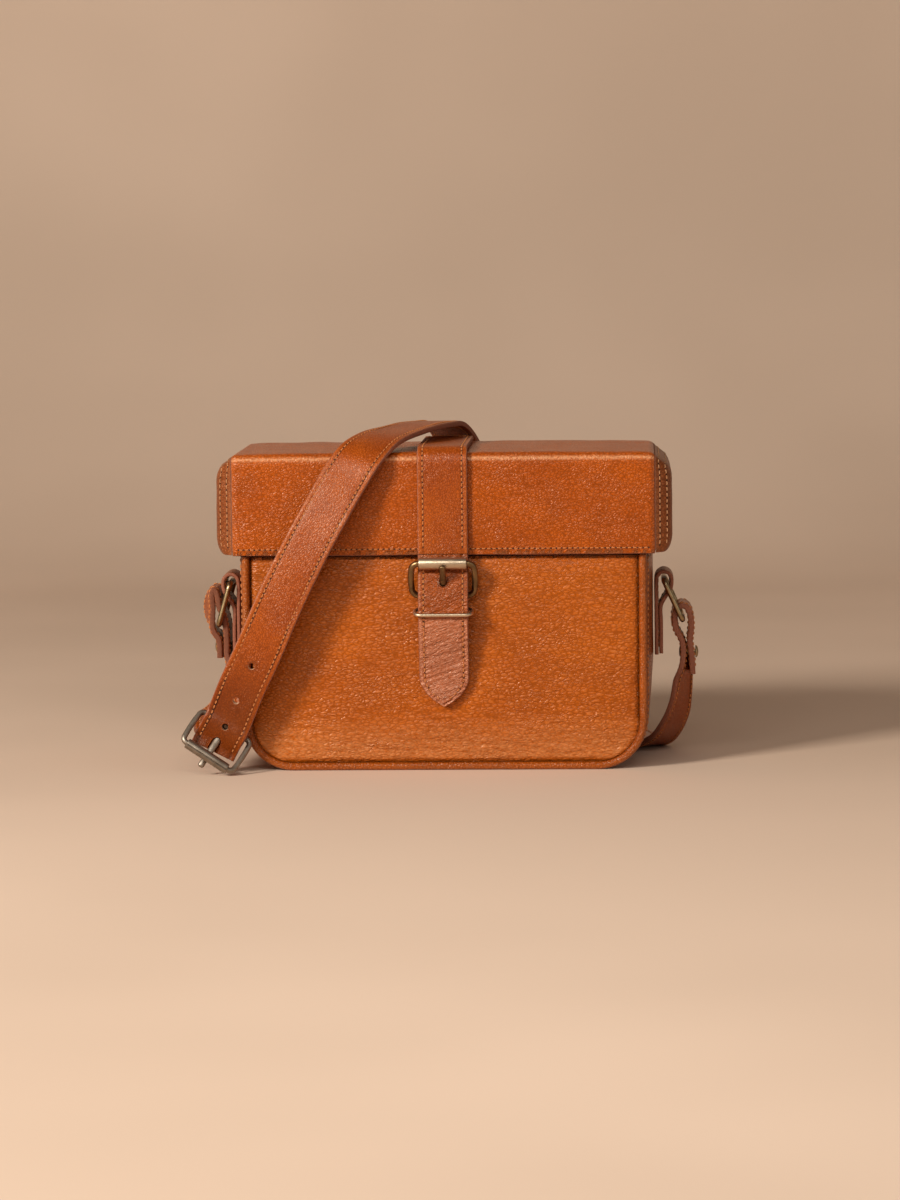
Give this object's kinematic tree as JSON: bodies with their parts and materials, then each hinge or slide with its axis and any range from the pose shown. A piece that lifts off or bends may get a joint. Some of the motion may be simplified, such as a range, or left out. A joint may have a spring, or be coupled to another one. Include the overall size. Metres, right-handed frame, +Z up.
{
  "type": "leather box bag",
  "caption": "Tan leather box bag with rounded bottom corners, a hinged box lid, a buckled front closure strap, side rings and a buckled shoulder strap draped over the lid.",
  "frame": {"origin": "middle of the flat base, on the surface the bag stands on", "axes": "+X to the bag's right as seen from the front, +Y from the front to the back, +Z up"},
  "size_m": [0.259, 0.2043, 0.1725],
  "materials": {
    "pebbled_leather": "tan pebbled hide, soft sheen",
    "edge_leather": "smooth tan piping",
    "end_leather": "darker brown smooth hide with raw edges",
    "strap_leather": "smooth tan bridle leather, stitched edges",
    "lining_fabric": "fawn suede cloth",
    "stiffener_board": "plain pressed board",
    "antique_brass": "antique, brushed",
    "worn_nickel": "warm worn nickel"
  },
  "bodies": {
    "root": {"front_panel": "pebbled_leather", "back_panel": "pebbled_leather", "front_piping": "edge_leather", "back_piping": "edge_leather", "gusset": "pebbled_leather", "gusset_board": "stiffener_board", "front_board": "stiffener_board", "back_board": "stiffener_board", "body_lining": "lining_fabric", "rim": "lining_fabric", "base_pad": "lining_fabric", "closure_chape": "end_leather", "left_ring_tab": "end_leather", "right_ring_tab": "end_leather", "strap_long": "strap_leather", "strap_short": "strap_leather", "strap_buckle_frame": "worn_nickel", "right_rivet": "antique_brass", "left_rivet": "antique_brass"},
    "lid": {"lid_cover": "pebbled_leather", "lid_left_end": "end_leather", "lid_right_end": "end_leather", "lid_top_board": "stiffener_board", "lid_front_board": "stiffener_board", "lid_hem_facing": "end_leather", "lid_lining": "lining_fabric", "hinge_strip": "end_leather", "closure_strap": "strap_leather", "closure_tongue": "strap_leather"},
    "divider": {"divider": "lining_fabric"},
    "closure_frame": {"closure_buckle_frame": "antique_brass"},
    "closure_roller": {"closure_buckle_roller": "antique_brass"},
    "closure_prong": {"closure_buckle_prong": "antique_brass"},
    "keeper": {"closure_keeper": "antique_brass"},
    "left_ring": {"left_ring": "antique_brass"},
    "right_ring": {"right_ring": "antique_brass"},
    "strap_roller": {"strap_buckle_roller": "worn_nickel"},
    "strap_prong": {"strap_buckle_prong": "worn_nickel"}
  },
  "joints": [
    {"name": "lid_hinge", "type": "hinge", "parent": "root", "child": "lid", "pos_m": [0, 0.0497, 0.1088], "axis": [-1, 0, 0], "range_deg": [0, 110], "deforming": ["strap_long", "hinge_strip", "closure_tongue"]},
    {"name": "closure_frame_pivot", "type": "hinge", "parent": "root", "child": "closure_frame", "pos_m": [0, -0.05, 0.0888], "axis": [1, 0, 0], "range_deg": [0, 50]},
    {"name": "closure_prong_pivot", "type": "hinge", "parent": "closure_frame", "child": "closure_prong", "pos_m": [0, -0.05, 0.0888], "axis": [1, 0, 0], "range_deg": [0, 35]},
    {"name": "closure_roller_spin", "type": "hinge", "parent": "closure_frame", "child": "closure_roller", "pos_m": [0, -0.0566, 0.1054], "axis": [1, 0, 0], "continuous": true},
    {"name": "keeper_tilt", "type": "hinge", "parent": "root", "child": "keeper", "pos_m": [0, -0.05, 0.0819], "axis": [1, 0, 0], "range_deg": [-8, 8]},
    {"name": "left_ring_swing", "type": "hinge", "parent": "root", "child": "left_ring", "pos_m": [-0.1105, 0, 0.092], "axis": [0, 1, 0], "range_deg": [-10, 105], "deforming": ["strap_short"]},
    {"name": "right_ring_swing", "type": "hinge", "parent": "root", "child": "right_ring", "pos_m": [0.1105, 0, 0.092], "axis": [0, -1, 0], "range_deg": [-18, 120]},
    {"name": "strap_roller_spin", "type": "hinge", "parent": "root", "child": "strap_roller", "pos_m": [-0.1185, -0.0645, 0.0103], "axis": [0.8304, 0, -0.5572], "continuous": true},
    {"name": "strap_prong_pivot", "type": "hinge", "parent": "root", "child": "strap_prong", "pos_m": [-0.10959, -0.05249, 0.02358], "axis": [-0.8304, 0, 0.5572], "range_deg": [-6, 0]},
    {"name": "divider_slide", "type": "slide", "parent": "root", "child": "divider", "axis": [1, 0, 0], "range_m": [-0.055, 0.055]}
  ]
}
